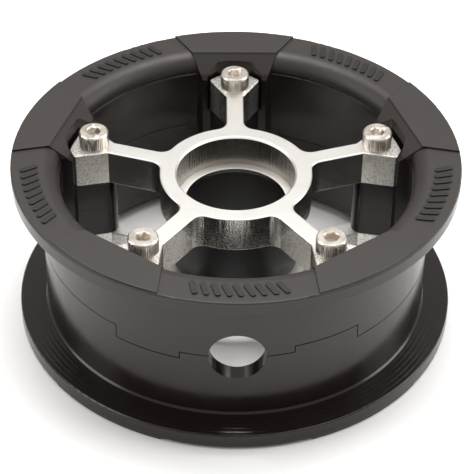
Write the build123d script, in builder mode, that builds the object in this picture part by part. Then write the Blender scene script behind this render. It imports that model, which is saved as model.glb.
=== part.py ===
from build123d import *
from math import cos, degrees, hypot, radians, sin, sqrt, tan
import os

# Split wheel hub for a small pneumatic tyre: two moulded rim halves clamped between two
# five-spoke stars by five socket screws. Origin at the wheel's centre, +Z along the axle
# towards the screw heads, valve hole towards -Y. All sizes in millimetres.

# Layout
spoke_count = 5
spoke_start = 90.0              # angle of the first spoke
screw_circle_radius = 35.65     # axle to the screws

# Rim halves
flange_radius = 52.65           # outside of the tyre flanges
half_width = 22.2               # mid-plane to the raised pads, which the wheel rests on
pad_height = 0.5                # the pads stand this much above the flange face
pad_setback = 0.1               # and this far inside its edge
flange_thickness = 3.7          # at the outer edge
flange_slope = 0.7              # the flange is thicker by this at its root
flange_edge_fillet = 0.4
barrel_radius = 46.0            # the tyre bead sits here
bead_corner = 0.45              # chamfer between barrel and flange
wall_thickness = 4.0            # barrel wall at the seam
wall_step = 0.5                 # the wall is thicker by this beside the stars
lip_setback = 0.4               # the rounded lip stands back from the wall below it
lip_fillet = 3.8
lip_drop = 4.5                  # flange face down to the lip's lower edge

# Seam between the halves
seam_step = 1.8                 # height of the interlocking tabs
seam_gap = 0.2
key_angle = 16.3                # tabs begin this far to each side of the valve hole
tab_angle = 36.3                # and swap sides here
valve_hole_radius = 6.5

# Stars
star_thickness = 9.0
star_spacing = 15.4             # between the stars' inner faces
ring_radius = 18.0
bearing_radius = 14.0           # seat for a 28 mm bearing
bearing_depth = 8.0
shoulder_radius = 12.0
seat_chamfer = 0.4
spoke_width = 4.3
window_fillet = 3.0
flare_start = 31.3              # where a spoke begins to widen
flare_angle = 30.0
foot_half_width = 6.3           # widest part of a spoke's foot
foot_radius = 40.7              # end of a spoke's foot
foot_end_half_width = 4.0
foot_corner_fillet = 0.7
star_edge_chamfer = 0.2

# Lugs of the rim halves
lug_nose_radius = 3.0
lug_nose_place = 33.4           # axle to the centre of the rounded nose
block_front_gap = 0.3           # the block begins this far inside the foot's corner
block_cheek = 0.95              # wall beside the pocket
block_side_angle = 30.5
pad_chord = 42.8                # axle to the straight inner edge of a pad
pocket_clearance = 0.7          # around a spoke's foot
pocket_fillet = 1.2

# Centre sleeve
sleeve_radius = 15.2
sleeve_bore = 12.2

# Fasteners
thread_radius = 2.0
hole_clearance = 0.15
head_radius = 3.5
head_height = 4.0
head_chamfer = 0.35
socket_flats = 3.0
socket_depth = 2.0
screw_length = 38.0
nut_flats = 7.0
nut_hex_height = 3.4
nut_height = 5.0
collar_radius = 3.2
insert_radius = 2.85
insert_height = 1.3
insert_cover = 0.25             # collar lip over the insert

# Raised marks between the pads
mark_count = 9
mark_span = 23.0                # degrees from first to last
mark_radius = 48.4
mark_length = 4.4
mark_width = 1.3
mark_slant = 22.0
mark_height = 0.4

# Worked out
face_z = half_width - pad_height
star_inner_z = star_spacing / 2
star_face_z = star_inner_z + star_thickness
bore_radius = barrel_radius - wall_thickness
upper_bore_radius = bore_radius - wall_step
lip_radius = upper_bore_radius + lip_setback
lip_z = face_z - lip_drop
flange_root_radius = barrel_radius + bead_corner
flange_edge_z = face_z - flange_thickness
flange_root_z = flange_edge_z - flange_slope
foot_corner = flare_start + (foot_half_width - spoke_width / 2) / tan(radians(flare_angle))
block_root_radius = barrel_radius - wall_thickness / 2
block_front = foot_corner - block_front_gap
block_half_width = foot_half_width + pocket_clearance + block_cheek
screw_hole_radius = thread_radius + hole_clearance
spoke_step = 360.0 / spoke_count
seam_turn = degrees(seam_gap / 2 / barrel_radius)

os.makedirs("parts", exist_ok=True)


def foot_outline(grow, corner):
    # Outline of a spoke's widened foot along +X, grown by a clearance
    end_x = sqrt(foot_radius**2 - foot_end_half_width**2)
    with BuildSketch() as outline:
        with BuildLine():
            Polyline(
                (end_x, -foot_end_half_width),
                (foot_corner, -foot_half_width),
                (flare_start, -spoke_width / 2),
                (flare_start, spoke_width / 2),
                (foot_corner, foot_half_width),
                (end_x, foot_end_half_width),
            )
            ThreePointArc((end_x, foot_end_half_width), (foot_radius, 0), (end_x, -foot_end_half_width))
        make_face()
        if grow > 0:
            offset(amount=grow, kind=Kind.INTERSECTION)
        outer_corners = [v for v in outline.vertices() if v.X > foot_corner - grow - 0.1]
        fillet(outer_corners, corner)
    return outline.sketch


foot = foot_outline(0, foot_corner_fillet)
pocket = foot_outline(pocket_clearance, pocket_fillet)

# One lug block along +X: clamping lug, pocket for the spoke's foot, sloped face up to the pad
block_reach = flange_radius + 2
block_reach_half_width = block_half_width + (block_reach - block_front) * tan(radians(block_side_angle))

with BuildPart() as lug_block:
    with BuildSketch():
        Polygon(
            (block_front, -block_half_width),
            (block_reach, -block_reach_half_width),
            (block_reach, block_reach_half_width),
            (block_front, block_half_width),
            align=None,
        )
    extrude(amount=half_width)
    with BuildSketch(Plane.XZ) as envelope:
        with BuildLine():
            Polyline(
                (0, 0),
                (bore_radius - seam_gap, 0),
                (bore_radius - seam_gap, seam_step + seam_gap),
                (block_root_radius, seam_step + seam_gap),
                (block_root_radius, flange_edge_z + flange_slope),
                (flange_radius - pad_setback, flange_edge_z + flange_slope),
                (flange_radius - pad_setback, half_width),
                (0, half_width),
                close=True,
            )
        make_face()
        fillet(envelope.vertices().group_by(Axis.X)[-1].sort_by(Axis.Z)[-1], flange_edge_fillet)
    revolve(axis=Axis.Z, mode=Mode.INTERSECT)
    with BuildSketch(Plane.XZ):
        Polygon(
            (pad_chord, half_width),
            (block_front, star_face_z),
            (0, star_face_z),
            (0, half_width + 1),
            (pad_chord, half_width + 1),
            align=None,
        )
    extrude(amount=block_reach_half_width, both=True, mode=Mode.SUBTRACT)
    with BuildSketch(Plane.XY.offset(star_inner_z)):
        add(pocket)
    extrude(amount=half_width, mode=Mode.SUBTRACT)
    with BuildSketch():
        with Locations((lug_nose_place, 0)):
            Circle(lug_nose_radius)
        with Locations(((foot_corner + bore_radius - 2) / 2, 0)):
            Rectangle(bore_radius - 2 - foot_corner, 2 * foot_half_width)
        make_hull()
    extrude(amount=star_inner_z)
    with Locations((screw_circle_radius, 0, star_inner_z)):
        Hole(screw_hole_radius)

# Outer rim half: revolved wall and flange, stepped seam, five lug blocks, valve hole, raised marks
with BuildPart() as outer_rim_half:
    with BuildSketch(Plane.XZ) as wall_profile:
        with BuildLine():
            Polyline(
                (upper_bore_radius, lip_z),
                (upper_bore_radius, star_inner_z),
                (bore_radius, star_inner_z),
                (bore_radius, seam_gap / 2 - seam_step),
                (barrel_radius, seam_gap / 2 - seam_step),
                (barrel_radius, flange_root_z - bead_corner),
                (flange_root_radius, flange_root_z),
                (flange_radius, flange_edge_z),
                (flange_radius, face_z),
                (lip_radius + lip_fillet, face_z),
            )
            RadiusArc((lip_radius + lip_fillet, face_z), (lip_radius, face_z - lip_fillet), -lip_fillet)
            Polyline((lip_radius, face_z - lip_fillet), (lip_radius, lip_z), (upper_bore_radius, lip_z))
        make_face()
        fillet(wall_profile.vertices().group_by(Axis.X)[-1], flange_edge_fillet)
    revolve(axis=Axis.Z)

    # Stretches of the seam that stand above its lowest level: start and end angle from the
    # valve hole, and their height. What is below each of them is cut away.
    stretches = [
        (-180 + key_angle - seam_turn, -tab_angle + seam_turn, seam_step),
        (-key_angle - seam_turn, key_angle - seam_turn, 0),
        (key_angle - seam_turn, tab_angle + seam_turn, seam_step),
        (180 - key_angle - seam_turn, 180 + key_angle - seam_turn, 0),
    ]
    for start, end, level in stretches:
        with BuildSketch(Plane.XY.offset(-2 * seam_step)):
            with BuildLine():
                corners = [start + (end - start) * k / 4 - 90 for k in range(5)]
                rim_points = [
                    (2 * flange_radius * cos(radians(turn)), 2 * flange_radius * sin(radians(turn)))
                    for turn in corners
                ]
                Polyline((0, 0), *rim_points, close=True)
            make_face()
        extrude(amount=2 * seam_step + level + seam_gap / 2, mode=Mode.SUBTRACT)

    with PolarLocations(0, spoke_count, start_angle=spoke_start):
        add(lug_block.part)

    with BuildSketch(Plane.XZ):
        Circle(valve_hole_radius)
    extrude(amount=flange_radius, mode=Mode.SUBTRACT)

    for segment in range(spoke_count):
        middle = spoke_start + (segment + 0.5) * spoke_step
        with BuildSketch(Plane.XY.offset(face_z - mark_height)):
            with PolarLocations(
                mark_radius,
                mark_count,
                start_angle=middle - mark_span / 2,
                angular_range=mark_span,
                endpoint=True,
            ):
                SlotOverall(mark_length, mark_width, rotation=mark_slant)
        extrude(amount=2 * mark_height)

outer_rim_half.part.label = "outer_rim_half"
export_step(outer_rim_half.part, "parts/outer_rim_half.step")

# Inner rim half: the same moulding turned over about the valve hole's axis
with BuildPart() as inner_rim_half:
    add(outer_rim_half.part.rotate(Axis.Y, 180))
inner_rim_half.part.label = "inner_rim_half"
export_step(inner_rim_half.part, "parts/inner_rim_half.step")

# Outer star: ring with bearing seat, five spokes with widened feet
with BuildPart() as outer_star:
    with BuildSketch(Plane.XY.offset(star_inner_z)) as star_plan:
        Circle(ring_radius)
        with PolarLocations(0, spoke_count, start_angle=spoke_start):
            with Locations(((flare_start + 1) / 2, 0)):
                Rectangle(flare_start + 1, spoke_width)
            add(foot)
        ring_corners = [v for v in star_plan.vertices() if abs(hypot(v.X, v.Y) - ring_radius) < 0.1]
        fillet(ring_corners, window_fillet)
    extrude(amount=star_thickness)
    outer_edges = outer_star.faces().filter_by(Axis.Z).edges()
    chamfer(outer_edges, star_edge_chamfer)
    with BuildSketch(Plane.XY.offset(star_face_z)):
        Circle(bearing_radius)
    extrude(amount=-bearing_depth, mode=Mode.SUBTRACT)
    with BuildSketch(Plane.XY.offset(star_face_z)):
        Circle(shoulder_radius)
    extrude(amount=-star_thickness, mode=Mode.SUBTRACT)
    seat_mouth = outer_star.edges().filter_by(GeomType.CIRCLE).filter_by(
        lambda e: abs(e.radius - bearing_radius) < 0.01
    )
    chamfer(seat_mouth.sort_by(Axis.Z)[-1], seat_chamfer)
    with PolarLocations(screw_circle_radius, spoke_count, start_angle=spoke_start):
        with Locations((0, 0, star_face_z)):
            Hole(screw_hole_radius)
outer_star.part.label = "outer_star"
export_step(outer_star.part, "parts/outer_star.step")

# Inner star: the same piece turned over
with BuildPart() as inner_star:
    add(outer_star.part.rotate(Axis.Y, 180))
inner_star.part.label = "inner_star"
export_step(inner_star.part, "parts/inner_star.step")

# Centre sleeve: spacer tube between the stars' inner faces
with BuildPart() as centre_sleeve:
    with BuildSketch(Plane.XY.offset(-star_inner_z)):
        Circle(sleeve_radius)
        Circle(sleeve_bore, mode=Mode.SUBTRACT)
    extrude(amount=star_spacing)
centre_sleeve.part.label = "centre_sleeve"
export_step(centre_sleeve.part, "parts/centre_sleeve.step")


def socket_screw(place, name):
    # A socket cap screw, head on the outer star
    with BuildPart() as screw:
        with BuildSketch(Plane.XY.offset(star_face_z)):
            with Locations(place):
                Circle(head_radius)
        extrude(amount=head_height)
        chamfer(screw.edges().group_by(Axis.Z)[-1], head_chamfer)
        with BuildSketch(Plane.XY.offset(star_face_z + head_height)):
            with Locations(place):
                RegularPolygon(socket_flats / 2, 6, major_radius=False)
        extrude(amount=-socket_depth, mode=Mode.SUBTRACT)
        with BuildSketch(Plane.XY.offset(star_face_z)):
            with Locations(place):
                Circle(thread_radius)
        extrude(amount=-screw_length)
    screw.part.label = name
    export_step(screw.part, f"parts/{name}.step")


def lock_nut(place, name):
    # A lock nut under the inner star: hexagon, round collar, seat for the nylon ring
    with BuildPart() as nut:
        with BuildSketch(Plane.XY.offset(-star_face_z)):
            with Locations(place):
                RegularPolygon(nut_flats / 2, 6, major_radius=False)
        extrude(amount=-nut_hex_height)
        with BuildSketch(Plane.XY.offset(-star_face_z)):
            with Locations(place):
                Circle(collar_radius)
        extrude(amount=-nut_height)
        with BuildSketch(Plane.XY.offset(-star_face_z)):
            with Locations(place):
                Circle(thread_radius)
        extrude(amount=-nut_height, mode=Mode.SUBTRACT)
        with BuildSketch(Plane.XY.offset(-star_face_z - nut_height + insert_cover)):
            with Locations(place):
                Circle(insert_radius)
        extrude(amount=insert_height, mode=Mode.SUBTRACT)
        with BuildSketch(Plane.XY.offset(-star_face_z - nut_height)):
            with Locations(place):
                Circle(insert_radius - insert_cover)
        extrude(amount=insert_cover, mode=Mode.SUBTRACT)
    nut.part.label = name
    export_step(nut.part, f"parts/{name}.step")


def nut_insert(place, name):
    # The nylon ring held in a lock nut
    with BuildPart() as ring:
        with BuildSketch(Plane.XY.offset(-star_face_z - nut_height + insert_cover)):
            with Locations(place):
                Circle(insert_radius)
                Circle(thread_radius, mode=Mode.SUBTRACT)
        extrude(amount=insert_height)
    ring.part.label = name
    export_step(ring.part, f"parts/{name}.step")


for number in range(1, spoke_count + 1):
    turn = radians(spoke_start + (number - 1) * spoke_step)
    spot = (screw_circle_radius * cos(turn), screw_circle_radius * sin(turn))
    socket_screw(spot, f"socket_screw_{number}")
    lock_nut(spot, f"lock_nut_{number}")
    nut_insert(spot, f"nut_insert_{number}")
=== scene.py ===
# Split wheel hub for a small pneumatic tyre, lying flat on a pale table.
# The rim halves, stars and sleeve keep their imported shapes; the screws, lock nuts
# and nylon rings are modelled again here with their knurling, chamfers and threads.
import math
import bmesh
import bpy
from mathutils import Matrix, Vector


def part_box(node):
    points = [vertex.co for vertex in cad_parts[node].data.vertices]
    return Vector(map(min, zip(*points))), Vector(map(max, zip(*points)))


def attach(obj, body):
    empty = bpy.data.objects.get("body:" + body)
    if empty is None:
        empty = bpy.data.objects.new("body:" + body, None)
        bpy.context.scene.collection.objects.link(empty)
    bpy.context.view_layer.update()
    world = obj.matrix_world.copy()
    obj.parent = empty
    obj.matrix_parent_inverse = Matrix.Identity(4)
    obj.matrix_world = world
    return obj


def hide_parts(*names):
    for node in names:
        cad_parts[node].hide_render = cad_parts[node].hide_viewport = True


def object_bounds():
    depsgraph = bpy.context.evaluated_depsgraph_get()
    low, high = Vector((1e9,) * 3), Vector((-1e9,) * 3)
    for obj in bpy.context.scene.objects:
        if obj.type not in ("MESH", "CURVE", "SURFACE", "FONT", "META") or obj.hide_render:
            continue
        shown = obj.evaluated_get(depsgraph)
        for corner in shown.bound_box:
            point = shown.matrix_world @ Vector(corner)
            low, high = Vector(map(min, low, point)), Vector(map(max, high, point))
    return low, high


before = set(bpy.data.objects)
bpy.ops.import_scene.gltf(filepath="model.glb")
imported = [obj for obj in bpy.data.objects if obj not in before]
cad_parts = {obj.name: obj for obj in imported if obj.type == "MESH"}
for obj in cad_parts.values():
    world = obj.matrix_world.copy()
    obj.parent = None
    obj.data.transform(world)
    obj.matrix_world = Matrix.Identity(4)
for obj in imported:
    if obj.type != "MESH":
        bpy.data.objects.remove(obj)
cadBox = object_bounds()
scene = bpy.context.scene
mm = 0.001


def linearColour(hexText):
    # sRGB hex to the linear values that a shader wants
    channels = [int(hexText[i:i + 2], 16) / 255 for i in (1, 3, 5)]
    linear = [c / 12.92 if c <= 0.04045 else ((c + 0.055) / 1.055) ** 2.4 for c in channels]
    return (*linear, 1.0)


def addNode(tree, kind, settings=None, inputs=None):
    # one shader node: its settings, then each input, given as a value or as a socket to link from;
    # a colour mix takes its factor in input 0, its colours in 6 and 7, and gives output 2
    node = tree.nodes.new(kind)
    for key, value in (settings or {}).items():
        setattr(node, key, value)
    for key, value in (inputs or {}).items():
        if isinstance(value, bpy.types.NodeSocket):
            tree.links.new(value, node.inputs[key])
        else:
            node.inputs[key].default_value = value
    return node


def newMaterial(name):
    material = bpy.data.materials.new(name)
    material.use_nodes = True
    return material, material.node_tree, material.node_tree.nodes["Principled BSDF"]


def perMetre(sizeMm):
    # a texture's scale, from the real size of one grain or line
    return 1000.0 / sizeMm


def giveMaterial(obj, material):
    obj.data.materials.clear()
    obj.data.materials.append(material)


# Glass-filled nylon, injection moulded: black with a grey bloom, semi-matt on the barrel
# where the mould is polished, duller and grainier on the flange faces.
nylon = {
    # the edge colour is partly wear and partly a painted highlight along the arrises and the root
    # fillets
    "dark": "#16100f", "light": "#1f1614", "bloom": "#2a2421", "mark": "#120d0c", "edge": "#4c4440",
    "barrelRoughness": 0.19, "faceRoughness": 0.46, "ior": 1.47,
    "cloudMm": 11.0, "streakMm": 3.0, "streakStretch": 0.12,
    "grainMm": 0.55, "grainDepthMm": 0.012,  # real grain is 0.1 mm, drawn coarser to show
    "barrelGrain": 0.35,  # how much of the grain is left on the polished barrel
    "ringMm": 1.1, "ringDepthMm": 0.03,  # turned at about 0.3 mm a turn, drawn coarser to show
    "edgeRoundMm": 0.16,
    # where one finish changes to the next: radii from the axle, heights from the mid-plane
    "lipRadiusMm": 45.9, "lipLiftMm": 3.2, "skinFromMm": 20.6, "skinToMm": 21.5,
    "markFromMm": 21.75, "markToMm": 22.15, "tyreSideRadiusMm": 46.5, "tyreSideToMm": 18.4,
}


def mouldedNylon():
    material, tree, shader = newMaterial("glassFilledNylonMoulded")
    place = addNode(tree, "ShaderNodeTexCoord").outputs["Object"]
    split = addNode(tree, "ShaderNodeSeparateXYZ", None, {0: place})
    height = addNode(tree, "ShaderNodeMath", {"operation": "ABSOLUTE"}, {0: split.outputs["Z"]})
    flat = addNode(tree, "ShaderNodeVectorMath", {"operation": "MULTIPLY"},
                   {0: place, 1: (1.0, 1.0, 0.0)})
    radius = addNode(tree, "ShaderNodeVectorMath", {"operation": "LENGTH"}, {0: flat.outputs[0]})
    # the dull skin covers the flange faces, and inside them the lip and the lugs' slopes too
    inside = addNode(tree, "ShaderNodeMath", {"operation": "LESS_THAN"},
                     {0: radius.outputs["Value"], 1: nylon["lipRadiusMm"] * mm})
    lifted = addNode(tree, "ShaderNodeMath", {"operation": "MULTIPLY_ADD"},
                     {0: inside.outputs[0], 1: nylon["lipLiftMm"] * mm, 2: height.outputs[0]})
    face = addNode(tree, "ShaderNodeMapRange", {"interpolation_type": "SMOOTHSTEP"},
                   {"Value": lifted.outputs[0],
                    "From Min": nylon["skinFromMm"] * mm, "From Max": nylon["skinToMm"] * mm})
    cloud = addNode(tree, "ShaderNodeTexNoise", None,
                    {"Vector": place, "Scale": perMetre(nylon["cloudMm"]),
                     "Detail": 5.0, "Roughness": 0.6})
    grain = addNode(tree, "ShaderNodeTexNoise", None,
                    {"Vector": place, "Scale": perMetre(nylon["grainMm"]),
                     "Detail": 3.0, "Roughness": 0.6})
    # scuffs: streaks along the axle, left by sliding the tyre on
    stretched = addNode(tree, "ShaderNodeMapping", None,
                        {"Vector": place, "Scale": (1.0, 1.0, nylon["streakStretch"])})
    streaks = addNode(tree, "ShaderNodeTexNoise", None,
                      {"Vector": stretched.outputs[0], "Scale": perMetre(nylon["streakMm"]),
                       "Detail": 2.0, "Roughness": 0.5})
    # rounded arrises: where the bevelled normal leaves the true one, there is an edge, convex or
    # concave
    rounded = addNode(tree, "ShaderNodeBevel", {"samples": 6}, {"Radius": nylon["edgeRoundMm"] * mm})
    trueNormal = addNode(tree, "ShaderNodeNewGeometry").outputs["Normal"]
    match = addNode(tree, "ShaderNodeVectorMath", {"operation": "DOT_PRODUCT"},
                    {0: rounded.outputs[0], 1: trueNormal})
    edge = addNode(tree, "ShaderNodeMapRange", None,
                   {"Value": match.outputs["Value"],
                    "From Min": 0.985, "From Max": 0.86, "To Max": 0.55})
    # edges, the concave roots too, are painted lighter: partly wear, partly a painted highlight
    wornAndHighlitEdge = addNode(tree, "ShaderNodeMath", {"operation": "MULTIPLY"},
                   {0: edge.outputs[0], 1: cloud.outputs["Fac"]})
    tone = addNode(tree, "ShaderNodeMix", {"data_type": "RGBA"},
                   {0: cloud.outputs["Fac"],
                    6: linearColour(nylon["dark"]), 7: linearColour(nylon["light"])})
    bloomed = addNode(tree, "ShaderNodeMix", {"data_type": "RGBA"},
                      {0: face.outputs[0], 6: tone.outputs[2], 7: linearColour(nylon["bloom"])})
    # the raised marks between the pads stay darker than the face round them
    aboveFace = addNode(tree, "ShaderNodeMath", {"operation": "GREATER_THAN"},
                        {0: height.outputs[0], 1: nylon["markFromMm"] * mm})
    underPad = addNode(tree, "ShaderNodeMath", {"operation": "LESS_THAN"},
                       {0: height.outputs[0], 1: nylon["markToMm"] * mm})
    onMark = addNode(tree, "ShaderNodeMath", {"operation": "MULTIPLY"},
                     {0: aboveFace.outputs[0], 1: underPad.outputs[0]})
    marked = addNode(tree, "ShaderNodeMix", {"data_type": "RGBA"},
                     {0: onMark.outputs[0], 6: bloomed.outputs[2], 7: linearColour(nylon["mark"])})
    finished = addNode(tree, "ShaderNodeMix", {"data_type": "RGBA"},
                       {0: wornAndHighlitEdge.outputs[0], 6: marked.outputs[2], 7: linearColour(nylon["edge"])})
    tree.links.new(finished.outputs[2], shader.inputs["Base Color"])
    dull = addNode(tree, "ShaderNodeMapRange", None,
                   {"Value": face.outputs[0],
                    "To Min": nylon["barrelRoughness"], "To Max": nylon["faceRoughness"]})
    patchy = addNode(tree, "ShaderNodeMapRange", None,
                     {"Value": streaks.outputs["Fac"], "From Min": 0.3, "From Max": 0.7,
                      "To Min": -0.02, "To Max": 0.05})
    roughness = addNode(tree, "ShaderNodeMath", {"operation": "ADD"},
                        {0: dull.outputs[0], 1: patchy.outputs[0]})
    tree.links.new(roughness.outputs[0], shader.inputs["Roughness"])
    # turned rings of the mould on the flanges' tyre side; a wave texture repeats every pi / 10
    rings = addNode(tree, "ShaderNodeTexWave", {"wave_type": "RINGS", "rings_direction": "Z"},
                    {"Vector": place, "Scale": perMetre(nylon["ringMm"]) * math.pi / 10.0,
                     "Distortion": 0.0})
    outside = addNode(tree, "ShaderNodeMath", {"operation": "GREATER_THAN"},
                      {0: radius.outputs["Value"], 1: nylon["tyreSideRadiusMm"] * mm})
    lowFace = addNode(tree, "ShaderNodeMath", {"operation": "LESS_THAN"},
                      {0: height.outputs[0], 1: nylon["tyreSideToMm"] * mm})
    tyreSide = addNode(tree, "ShaderNodeMath", {"operation": "MULTIPLY"},
                       {0: outside.outputs[0], 1: lowFace.outputs[0]})
    ringHeight = addNode(tree, "ShaderNodeMath", {"operation": "MULTIPLY"},
                         {0: rings.outputs["Fac"], 1: tyreSide.outputs[0]})
    turned = addNode(tree, "ShaderNodeBump", None,
                     {"Height": ringHeight.outputs[0], "Distance": nylon["ringDepthMm"] * mm,
                      "Normal": rounded.outputs[0]})
    strength = addNode(tree, "ShaderNodeMapRange", None,
                       {"Value": face.outputs[0], "To Min": nylon["barrelGrain"], "To Max": 1.0})
    textured = addNode(tree, "ShaderNodeBump", None,
                       {"Strength": strength.outputs[0], "Height": grain.outputs["Fac"],
                        "Distance": nylon["grainDepthMm"] * mm, "Normal": turned.outputs[0]})
    tree.links.new(textured.outputs[0], shader.inputs["Normal"])
    shader.inputs["IOR"].default_value = nylon["ior"]
    return material


# Aluminium alloy, milled and tumbled: bright satin faces, upright tool marks on the
# walls, and darker pitted skin on the spokes' feet where the casting isn't machined.
alloy = {
    "bright": "#f6f3ee", "soft": "#e6e2dc", "skin": "#a39f99", "seat": "#8d8983", "pit": "#8f8b85",
    "faceRoughness": 0.33, "wallRoughness": 0.15, "footWallRoughness": 0.34,
    "skinRoughness": 0.48, "seatRoughness": 0.22, "shoulderRoughness": 0.52,
    "cloudMm": 5.0,
    "grainMm": 0.42, "grainDepthMm": 0.05,  # tumbling dents are about 0.15 mm, drawn coarser to show
    "toolMarkMm": 0.6, "toolMarkDepthMm": 0.14,  # cutter lines are about 0.2 mm apart, coarser too
    "toolMarkDrift": 0.06, "wallRadiusMm": 18.0,
    "edgeRoundMm": 0.18,
    # radii from the axle: the skin fades in between the first two, the seat lies inside the third
    "footFromMm": 30.5, "footToMm": 36.0, "seatRadiusMm": 14.3,
}


def milledAluminium():
    material, tree, shader = newMaterial("aluminiumMilledTumbled")
    place = addNode(tree, "ShaderNodeTexCoord").outputs["Object"]
    geometry = addNode(tree, "ShaderNodeNewGeometry")
    split = addNode(tree, "ShaderNodeSeparateXYZ", None, {0: place})
    normal = addNode(tree, "ShaderNodeSeparateXYZ", None, {0: geometry.outputs["Normal"]})
    upright = addNode(tree, "ShaderNodeMath", {"operation": "ABSOLUTE"}, {0: normal.outputs["Z"]})
    isFace = addNode(tree, "ShaderNodeMapRange", {"interpolation_type": "SMOOTHSTEP"},
                     {"Value": upright.outputs[0], "From Min": 0.3, "From Max": 0.8})
    flat = addNode(tree, "ShaderNodeVectorMath", {"operation": "MULTIPLY"},
                   {0: place, 1: (1.0, 1.0, 0.0)})
    radius = addNode(tree, "ShaderNodeVectorMath", {"operation": "LENGTH"}, {0: flat.outputs[0]})
    cloud = addNode(tree, "ShaderNodeTexNoise", None,
                    {"Vector": place, "Scale": perMetre(alloy["cloudMm"]),
                     "Detail": 6.0, "Roughness": 0.65})
    grain = addNode(tree, "ShaderNodeTexNoise", None,
                    {"Vector": place, "Scale": perMetre(alloy["grainMm"]),
                     "Detail": 4.0, "Roughness": 0.7})
    # on the feet the skin shows through in patches
    outward = addNode(tree, "ShaderNodeMapRange", {"interpolation_type": "SMOOTHSTEP"},
                      {"Value": radius.outputs["Value"],
                       "From Min": alloy["footFromMm"] * mm, "From Max": alloy["footToMm"] * mm})
    speck = addNode(tree, "ShaderNodeMapRange", None,
                    {"Value": grain.outputs["Fac"], "From Min": 0.42, "From Max": 0.60})
    patch = addNode(tree, "ShaderNodeMath", {"operation": "MULTIPLY"},
                    {0: outward.outputs[0], 1: speck.outputs[0]})
    skin = addNode(tree, "ShaderNodeMath", {"operation": "MULTIPLY"},
                   {0: patch.outputs[0], 1: isFace.outputs[0]})
    tone = addNode(tree, "ShaderNodeMix", {"data_type": "RGBA"},
                   {0: cloud.outputs["Fac"],
                    6: linearColour(alloy["bright"]), 7: linearColour(alloy["soft"])})
    skinned = addNode(tree, "ShaderNodeMix", {"data_type": "RGBA"},
                      {0: skin.outputs[0], 6: tone.outputs[2], 7: linearColour(alloy["skin"])})
    wallOnly = addNode(tree, "ShaderNodeMapRange", None,
                       {"Value": isFace.outputs[0], "To Min": 1.0, "To Max": 0.0})
    # walls carry small dark pits, and the bearing seat's wall is greyer than the rest
    pitted = addNode(tree, "ShaderNodeMapRange", None,
                     {"Value": grain.outputs["Fac"],
                      "From Min": 0.50, "From Max": 0.62, "To Max": 0.75})
    pitShare = addNode(tree, "ShaderNodeMath", {"operation": "MULTIPLY"},
                       {0: pitted.outputs[0], 1: wallOnly.outputs[0]})
    pocked = addNode(tree, "ShaderNodeMix", {"data_type": "RGBA"},
                     {0: pitShare.outputs[0], 6: skinned.outputs[2], 7: linearColour(alloy["pit"])})
    inSeat = addNode(tree, "ShaderNodeMath", {"operation": "LESS_THAN"},
                     {0: radius.outputs["Value"], 1: alloy["seatRadiusMm"] * mm})
    seatShare = addNode(tree, "ShaderNodeMath", {"operation": "MULTIPLY"},
                        {0: inSeat.outputs[0], 1: wallOnly.outputs[0]})
    finished = addNode(tree, "ShaderNodeMix", {"data_type": "RGBA"},
                       {0: seatShare.outputs[0], 6: pocked.outputs[2], 7: linearColour(alloy["seat"])})
    tree.links.new(finished.outputs[2], shader.inputs["Base Color"])
    wallRough = addNode(tree, "ShaderNodeMapRange", None,
                        {"Value": outward.outputs[0], "To Min": alloy["wallRoughness"],
                         "To Max": alloy["footWallRoughness"]})
    rough = addNode(tree, "ShaderNodeMix", {"data_type": "FLOAT"},
                    {0: isFace.outputs[0], 2: wallRough.outputs[0], 3: alloy["faceRoughness"]})
    rougher = addNode(tree, "ShaderNodeMix", {"data_type": "FLOAT"},
                      {0: skin.outputs[0], 2: rough.outputs[0], 3: alloy["skinRoughness"]})
    seatRough = addNode(tree, "ShaderNodeMix", {"data_type": "FLOAT"},
                        {0: isFace.outputs[0],
                         2: alloy["seatRoughness"], 3: alloy["shoulderRoughness"]})
    allRough = addNode(tree, "ShaderNodeMix", {"data_type": "FLOAT"},
                       {0: inSeat.outputs[0], 2: rougher.outputs[0], 3: seatRough.outputs[0]})
    tree.links.new(allRough.outputs[0], shader.inputs["Roughness"])
    # tool marks: lines that run up the walls, spaced round the axle
    turn = addNode(tree, "ShaderNodeMath", {"operation": "ARCTAN2"},
                   {0: split.outputs["Y"], 1: split.outputs["X"]})
    arc = addNode(tree, "ShaderNodeMath", {"operation": "MULTIPLY"},
                  {0: turn.outputs[0], 1: alloy["wallRadiusMm"] * mm})
    drift = addNode(tree, "ShaderNodeMath", {"operation": "MULTIPLY"},
                    {0: split.outputs["Z"], 1: alloy["toolMarkDrift"]})
    along = addNode(tree, "ShaderNodeCombineXYZ", None, {0: arc.outputs[0], 1: drift.outputs[0]})
    marks = addNode(tree, "ShaderNodeTexNoise", None,
                    {"Vector": along.outputs[0], "Scale": perMetre(alloy["toolMarkMm"]), "Detail": 3.0})
    rounded = addNode(tree, "ShaderNodeBevel", {"samples": 6}, {"Radius": alloy["edgeRoundMm"] * mm})
    marked = addNode(tree, "ShaderNodeBump", None,
                     {"Strength": wallOnly.outputs[0], "Height": marks.outputs["Fac"],
                      "Distance": alloy["toolMarkDepthMm"] * mm, "Normal": rounded.outputs[0]})
    tumbled = addNode(tree, "ShaderNodeBump", None,
                      {"Height": grain.outputs["Fac"], "Distance": alloy["grainDepthMm"] * mm,
                       "Normal": marked.outputs[0]})
    tree.links.new(tumbled.outputs[0], shader.inputs["Normal"])
    shader.inputs["Metallic"].default_value = 1.0
    return material


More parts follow.
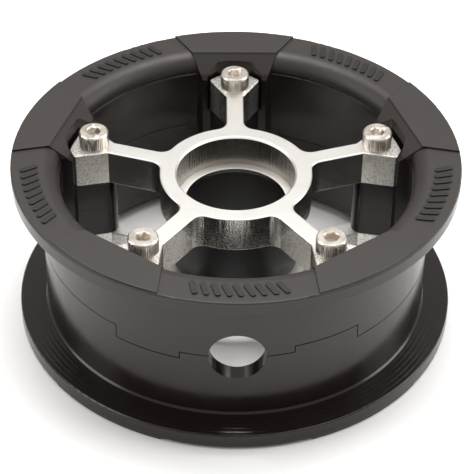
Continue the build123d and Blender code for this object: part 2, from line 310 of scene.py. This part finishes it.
# The smaller finishes share one recipe: a tone that drifts between two colours and a fine grain.
# Their real grain is 0.05 to 0.1 mm, drawn coarser to show.
smallFinishes = {
    "nylonTubeExtruded": {  # black tube, smooth, with a slight sheen
        "dark": "#161515", "light": "#232121", "metallic": 0.0, "low": 0.28, "high": 0.42,
        "cloudMm": 6.0, "grainMm": 0.6, "depthMm": 0.006, "roundMm": 0.2, "stretch": (1.0, 1.0, 0.1)},
    "stainlessSteelTurned": {  # bright cold-headed screws, fine turning grain
        "dark": "#d2cac0", "light": "#e6ded3", "metallic": 1.0, "low": 0.26, "high": 0.40,
        "cloudMm": 2.0, "grainMm": 0.35, "depthMm": 0.006, "roundMm": 0.08, "stretch": (1.0, 1.0, 1.0)},
    "steelZincPlated": {  # bluish white plating, slightly cloudy
        "dark": "#b9bcc0", "light": "#d8d9d8", "metallic": 1.0, "low": 0.22, "high": 0.42,
        "cloudMm": 1.6, "grainMm": 0.4, "depthMm": 0.005, "roundMm": 0.08, "stretch": (1.0, 1.0, 1.0)},
    "nylonNatural": {  # uncoloured locking ring, waxy
        "dark": "#cfccc0", "light": "#e2dfd4", "metallic": 0.0, "low": 0.35, "high": 0.50,
        "cloudMm": 1.5, "grainMm": 0.5, "depthMm": 0.004, "roundMm": 0.05, "stretch": (1.0, 1.0, 1.0)},
}


def smallFinish(name):
    look = smallFinishes[name]
    material, tree, shader = newMaterial(name)
    place = addNode(tree, "ShaderNodeTexCoord").outputs["Object"]
    mapped = addNode(tree, "ShaderNodeMapping", None, {"Vector": place, "Scale": look["stretch"]})
    cloud = addNode(tree, "ShaderNodeTexNoise", None,
                    {"Vector": mapped.outputs[0], "Scale": perMetre(look["cloudMm"]), "Detail": 4.0})
    grain = addNode(tree, "ShaderNodeTexNoise", None,
                    {"Vector": mapped.outputs[0], "Scale": perMetre(look["grainMm"]), "Detail": 3.0})
    tone = addNode(tree, "ShaderNodeMix", {"data_type": "RGBA"},
                   {0: cloud.outputs["Fac"],
                    6: linearColour(look["dark"]), 7: linearColour(look["light"])})
    tree.links.new(tone.outputs[2], shader.inputs["Base Color"])
    rough = addNode(tree, "ShaderNodeMapRange", None,
                    {"Value": cloud.outputs["Fac"], "From Min": 0.3, "From Max": 0.7,
                     "To Min": look["low"], "To Max": look["high"]})
    tree.links.new(rough.outputs[0], shader.inputs["Roughness"])
    rounded = addNode(tree, "ShaderNodeBevel", {"samples": 4}, {"Radius": look["roundMm"] * mm})
    bumped = addNode(tree, "ShaderNodeBump", None,
                     {"Height": grain.outputs["Fac"], "Distance": look["depthMm"] * mm,
                      "Normal": rounded.outputs[0]})
    tree.links.new(bumped.outputs[0], shader.inputs["Normal"])
    shader.inputs["Metallic"].default_value = look["metallic"]
    return material


nylonBlack = mouldedNylon()
aluminium = milledAluminium()
tubeNylon = smallFinish("nylonTubeExtruded")
stainless = smallFinish("stainlessSteelTurned")
zincSteel = smallFinish("steelZincPlated")
ringNylon = smallFinish("nylonNatural")

for name in ("outer_rim_half", "inner_rim_half"):
    giveMaterial(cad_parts[name], nylonBlack)
for name in ("outer_star", "inner_star"):
    giveMaterial(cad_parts[name], aluminium)
giveMaterial(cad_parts["centre_sleeve"], tubeNylon)
print("carried-over parts have their materials")


def startFresh():
    if bpy.context.mode != "OBJECT":
        bpy.ops.object.mode_set(mode="OBJECT")
    bpy.ops.object.select_all(action="DESELECT")


def chooseFaces(obj, test):
    # selects, in edit mode, the faces whose centre and normal pass the test
    mesh = bmesh.from_edit_mesh(obj.data)
    for face in mesh.faces:
        face.select_set(False)
    for face in mesh.faces:
        if test(face.calc_center_median(), face.normal):
            face.select_set(True)
    mesh.select_flush_mode()
    bmesh.update_edit_mesh(obj.data)


def chooseVertices(obj, test):
    bpy.ops.mesh.select_mode(type="VERT")
    mesh = bmesh.from_edit_mesh(obj.data)
    for vertex in mesh.verts:
        vertex.select_set(test(vertex.co))
    mesh.select_flush_mode()
    bmesh.update_edit_mesh(obj.data)


def extrudeAndScale(rise, factor=1.0):
    # pushes the chosen cap up by rise and draws it in about the axis by factor
    bpy.ops.mesh.extrude_region_move(TRANSFORM_OT_translate={"value": (0, 0, rise)})
    if factor != 1.0:
        bpy.ops.transform.resize(value=(factor, factor, 1.0), center_override=(0, 0, 0))


def turnedCylinder(name, radius, low, high, vertices, startAngle=0.0):
    startFresh()
    bpy.ops.mesh.primitive_cylinder_add(vertices=vertices, radius=radius, depth=high - low,
                                        end_fill_type="NGON", location=(0, 0, (low + high) / 2),
                                        rotation=(0, 0, startAngle))
    obj = bpy.context.object
    obj.name = name
    bpy.ops.object.transform_apply(location=True, rotation=True, scale=True)
    return obj


def applyBoolean(obj, cutter, operation):
    startFresh()
    bpy.context.view_layer.objects.active = obj
    obj.select_set(True)
    modifier = obj.modifiers.new("cut", "BOOLEAN")
    modifier.operation = operation
    modifier.object = cutter
    modifier.solver = "EXACT"
    bpy.ops.object.modifier_apply(modifier=modifier.name)
    bpy.data.objects.remove(cutter)


def applyBevel(obj, width, segments, angle=35.0):
    startFresh()
    bpy.context.view_layer.objects.active = obj
    obj.select_set(True)
    modifier = obj.modifiers.new("edges", "BEVEL")
    modifier.width = width
    modifier.segments = segments
    modifier.limit_method = "ANGLE"
    modifier.angle_limit = math.radians(angle)
    bpy.ops.object.modifier_apply(modifier=modifier.name)
    bpy.ops.object.shade_smooth_by_angle(angle=math.radians(30))


def joinInto(obj, others):
    startFresh()
    for other in others:
        other.select_set(True)
    obj.select_set(True)
    bpy.context.view_layer.objects.active = obj
    bpy.ops.object.join()
    return obj


# Socket cap screw, along the axle direction, head on the outer star
screw = {
    "headHeight": 4.0 * mm, "headRadius": 3.5 * mm, "chamfer": 0.35 * mm, "edgeRound": 0.05 * mm,
    "knurlSides": 96, "knurlDepth": 0.965,  # 48 ridges, straight knurling on a 7 mm head
    "band": 0.35 * mm, "topBand": 0.25 * mm, "runOut": 0.12 * mm,  # plain bands round the knurl
    "socketFlats": 3.0 * mm, "socketDepth": 2.0 * mm,
    "mouthRim": 0.06 * mm, "mouthDrop": 0.15 * mm, "cutterRise": 1.0 * mm,
    "shankRadius": 1.98 * mm, "sunk": 0.2 * mm,  # the shank starts this far inside the head
    "pitch": 0.7 * mm, "threads": 12, "root": 0.82,
    "tipLength": 0.4 * mm, "tipShare": 0.76,
}


def makeScrew():
    tip, high = (corner.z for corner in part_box("socket_screw_1"))
    low, radius = high - screw["headHeight"], screw["headRadius"]
    head = turnedCylinder("screwMaster", radius, low, low + screw["band"], screw["knurlSides"])
    bpy.ops.object.mode_set(mode="EDIT")
    bpy.ops.mesh.select_mode(type="FACE")
    chooseFaces(head, lambda centre, normal: normal.z > 0.9)
    knurlLow = low + screw["band"] + screw["runOut"]
    knurlHigh = high - screw["chamfer"] - screw["topBand"]
    extrudeAndScale(screw["runOut"])
    extrudeAndScale(knurlHigh - knurlLow)
    extrudeAndScale(screw["runOut"])
    extrudeAndScale(screw["topBand"] - screw["runOut"])
    extrudeAndScale(screw["chamfer"], (radius - screw["chamfer"]) / radius)
    step = 2 * math.pi / screw["knurlSides"]

    def inGroove(co):
        onRing = min(abs(co.z - knurlLow), abs(co.z - knurlHigh)) < 0.01 * mm
        return onRing and round(math.atan2(co.y, co.x) / step) % 2 == 0
    chooseVertices(head, inGroove)
    bpy.ops.transform.resize(value=(screw["knurlDepth"], screw["knurlDepth"], 1.0),
                             center_override=(0, 0, 0))
    bpy.ops.object.mode_set(mode="OBJECT")
    # hexagon socket with a drilled, coned mouth
    corner = screw["socketFlats"] / 2 / math.cos(math.radians(30))
    cutterTop = high + screw["cutterRise"]
    hexagon = turnedCylinder("socketCutter", corner, high - screw["socketDepth"], cutterTop, 6)
    applyBoolean(head, hexagon, "DIFFERENCE")
    mouthRadius = corner + screw["mouthRim"]
    mouth = turnedCylinder("mouthCutter", mouthRadius, high, cutterTop, 48)
    bpy.ops.object.mode_set(mode="EDIT")
    bpy.ops.mesh.select_mode(type="FACE")
    chooseFaces(mouth, lambda centre, normal: normal.z < -0.9)
    extrudeAndScale(-screw["mouthDrop"], (corner - screw["mouthDrop"]) / mouthRadius)
    bpy.ops.object.mode_set(mode="OBJECT")
    applyBoolean(head, mouth, "DIFFERENCE")
    applyBevel(head, screw["edgeRound"], 2)
    # shank: plain at first, then threads drawn as stacked grooves, then a coned tip
    threadTop = tip + screw["tipLength"] + screw["threads"] * screw["pitch"]
    shank = turnedCylinder("shank", screw["shankRadius"], threadTop, low + screw["sunk"], 32)
    bpy.ops.object.mode_set(mode="EDIT")
    bpy.ops.mesh.select_mode(type="FACE")
    chooseFaces(shank, lambda centre, normal: normal.z < -0.9)
    for turn in range(screw["threads"]):
        extrudeAndScale(-screw["pitch"] / 2, screw["root"])
        extrudeAndScale(-screw["pitch"] / 2, 1 / screw["root"])
    extrudeAndScale(-screw["tipLength"], screw["tipShare"])
    bpy.ops.object.mode_set(mode="OBJECT")
    bpy.ops.object.shade_smooth_by_angle(angle=math.radians(40))
    return joinInto(head, [shank])


# Lock nut: chamfered hexagon, round crimped collar that holds a nylon ring
nut = {
    "flats": 7.0 * mm, "hexHeight": 3.4 * mm, "edgeRound": 0.05 * mm,
    "chamfer": 0.45 * mm, "chamferReach": 0.85, "chamferSlope": 0.58,  # 30 degree turned corners
    "collarRadius": 3.2 * mm, "collarSunk": 0.1 * mm, "mouthRadius": 2.6 * mm,
    "crimp": [(0.27 * mm, 0.975), (0.14 * mm, 0.955), (0.04 * mm, 0.94)],  # falls and inward shares
}
lockingRing = {
    "outer": 2.6 * mm, "inner": 2.0 * mm, "height": 1.3 * mm,
    "cover": 0.25 * mm,  # the collar reaches this far past the ring
    "round": 0.06 * mm, "roundShare": 0.93, "lead": 0.08 * mm, "leadShare": 1.1, "bore": 0.8,
}


def makeNut():
    foot, seat = (corner.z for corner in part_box("lock_nut_1"))
    hexLow = seat - nut["hexHeight"]
    corner = nut["flats"] / 2 / math.cos(math.radians(30))
    body = turnedCylinder("nutMaster", corner, hexLow, seat, 6, math.radians(30))
    # turned chamfers leave curved corners, so the hexagon is cut by a double cone
    slack = 0.02 * mm
    lathe = turnedCylinder("chamferCutter", corner + slack,
                           hexLow + nut["chamfer"], seat - nut["chamfer"], 64)
    bpy.ops.object.mode_set(mode="EDIT")
    bpy.ops.mesh.select_mode(type="FACE")
    taper = 1 - nut["chamferReach"] * nut["chamfer"] / nut["chamferSlope"] / corner
    chooseFaces(lathe, lambda centre, normal: normal.z > 0.9)
    extrudeAndScale(nut["chamfer"] + slack / 2, taper)
    chooseFaces(lathe, lambda centre, normal: normal.z < -0.9)
    extrudeAndScale(-nut["chamfer"] - slack / 2, taper)
    bpy.ops.object.mode_set(mode="OBJECT")
    applyBoolean(body, lathe, "INTERSECT")
    applyBevel(body, nut["edgeRound"], 2)
    crimpHeight = sum(fall for fall, share in nut["crimp"])
    collar = turnedCylinder("collar", nut["collarRadius"],
                            foot + crimpHeight, hexLow + nut["collarSunk"], 48)
    bpy.ops.object.mode_set(mode="EDIT")
    bpy.ops.mesh.select_mode(type="FACE")
    chooseFaces(collar, lambda centre, normal: normal.z < -0.9)
    rolled = nut["collarRadius"]
    for fall, share in nut["crimp"]:  # the crimp rolls inwards
        extrudeAndScale(-fall, share)
        rolled *= share
    extrudeAndScale(0.0, nut["mouthRadius"] / rolled)
    extrudeAndScale(lockingRing["cover"] + lockingRing["height"])
    bpy.ops.object.mode_set(mode="OBJECT")
    bpy.ops.object.shade_smooth_by_angle(angle=math.radians(40))
    return joinInto(body, [collar])


def makeRing():
    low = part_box("lock_nut_1")[0].z + lockingRing["cover"]
    ring = turnedCylinder("ringMaster", lockingRing["outer"], low, low + lockingRing["height"], 40)
    bpy.ops.object.mode_set(mode="EDIT")
    bpy.ops.mesh.select_mode(type="FACE")
    chooseFaces(ring, lambda centre, normal: normal.z < -0.9)
    # rounded rim, flat end, coned lead-in, then the bore, which ends blind inside the screw
    share = lockingRing["inner"] / lockingRing["outer"]
    extrudeAndScale(-lockingRing["round"], lockingRing["roundShare"])
    extrudeAndScale(0.0, share * lockingRing["leadShare"] / lockingRing["roundShare"])
    extrudeAndScale(lockingRing["lead"], 1 / lockingRing["leadShare"])
    extrudeAndScale(lockingRing["height"] * lockingRing["bore"])
    bpy.ops.object.mode_set(mode="OBJECT")
    bpy.ops.object.shade_smooth_by_angle(angle=math.radians(40))
    return ring


fasteners = {"count": 5, "screwTurn": 0.7}  # each screw stopped 0.7 radians further round than the last


def placeCopies(master, nodeStem, pieceStem, material, turnStep=0.0):
    # one copy on each CAD piece, with its own mesh and its place in that mesh
    giveMaterial(master, material)
    for number in range(1, fasteners["count"] + 1):
        node = f"{nodeStem}_{number}"
        low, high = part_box(node)
        middle = (low + high) / 2
        mesh = master.data.copy()
        mesh.transform(Matrix.Rotation(turnStep * number, 4, "Z"))
        mesh.transform(Matrix.Translation((middle.x, middle.y, 0)))
        piece = bpy.data.objects.new(f"{pieceStem}_{number}", mesh)
        scene.collection.objects.link(piece)
        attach(piece, "root")
        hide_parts(node)
    bpy.data.objects.remove(master)


placeCopies(makeScrew(), "socket_screw", "knurled_screw", stainless,
            fasteners["screwTurn"])
placeCopies(makeNut(), "lock_nut", "chamfered_nut", zincSteel)
placeCopies(makeRing(), "nut_insert", "locking_ring", ringNylon)
print("screws, nuts and locking rings are made")

# Table top: pale seamless paper, a little warm
table = {"colour": "#f4f3f1", "roughness": 0.6, "size": 6.0, "height": cadBox[0].z,
         "fibreMm": 1.2, "fibreDepthMm": 0.01}  # real fibres are finer, drawn coarser to show
startFresh()
bpy.ops.mesh.primitive_plane_add(size=table["size"], location=(0, 0, table["height"]))
floor = bpy.context.object
floor.name = "table_top"
paper, paperTree, paperShader = newMaterial("seamlessPaperMatt")
paperPlace = addNode(paperTree, "ShaderNodeTexCoord").outputs["Object"]
fibres = addNode(paperTree, "ShaderNodeTexNoise", None,
                 {"Vector": paperPlace, "Scale": perMetre(table["fibreMm"]), "Detail": 3.0})
fibreBump = addNode(paperTree, "ShaderNodeBump", None,
                    {"Height": fibres.outputs["Fac"], "Distance": table["fibreDepthMm"] * mm})
paperTree.links.new(fibreBump.outputs[0], paperShader.inputs["Normal"])
paperShader.inputs["Base Color"].default_value = linearColour(table["colour"])
paperShader.inputs["Roughness"].default_value = table["roughness"]
giveMaterial(floor, paper)

# Light: a white tent, one large box overhead and a softer one to each side
studio = {
    "tent": "#fffefd", "tentStrength": 0.55,
    "boxes": [  # name, place in metres, width, height, watts; each one faces the wheel
        ("overhead_box", (0.05, 0.25, 1.10), 0.9, 0.7, 16.0),
        ("left_box", (-0.95, -0.10, 0.45), 0.5, 0.7, 3.5),
        ("right_box", (0.95, 0.05, 0.50), 0.5, 0.7, 4.5),
    ],
}
world = bpy.data.worlds.new("whiteTent")
world.use_nodes = True
scene.world = world
backdrop = world.node_tree.nodes["Background"]
backdrop.inputs["Color"].default_value = linearColour(studio["tent"])
backdrop.inputs["Strength"].default_value = studio["tentStrength"]
for name, place, width, height, watts in studio["boxes"]:
    lamp = bpy.data.lights.new(name, "AREA")
    lamp.shape = "RECTANGLE"
    lamp.size = width
    lamp.size_y = height
    lamp.energy = watts
    lampObject = bpy.data.objects.new(name, lamp)
    scene.collection.objects.link(lampObject)
    lampObject.location = place
    lampObject.rotation_euler = (-Vector(place)).to_track_quat("-Z", "Y").to_euler()

# Camera: long lens from the valve's side, 39 degrees above the table; angles in degrees
view = {"place": (-5.73 * mm, -344.81 * mm, 278.33 * mm), "turn": -1.0211, "height": 39.2024,
        "roll": 0.7015, "lens": 139.5, "sensor": 36.0, "nearest": 0.01, "farthest": 20.0}
turn, tilt, roll = (math.radians(view[key]) for key in ("turn", "height", "roll"))
back = Vector((math.sin(turn) * math.cos(tilt), -math.cos(turn) * math.cos(tilt), math.sin(tilt)))
right = (-back).cross(Vector((0, 0, 1))).normalized()
up = right.cross(-back)
cameraX = math.cos(roll) * right + math.sin(roll) * up
cameraY = -math.sin(roll) * right + math.cos(roll) * up
cameraData = bpy.data.cameras.new("table_camera")
cameraData.lens = view["lens"]
cameraData.sensor_width = view["sensor"]
cameraData.clip_start = view["nearest"]
cameraData.clip_end = view["farthest"]
camera = bpy.data.objects.new("table_camera", cameraData)
scene.collection.objects.link(camera)
aim = Matrix((cameraX, cameraY, back)).transposed().to_4x4()
camera.matrix_world = Matrix.Translation(view["place"]) @ aim
scene.camera = camera
scene.view_settings.view_transform = "Standard"
print("table, light and camera are set")
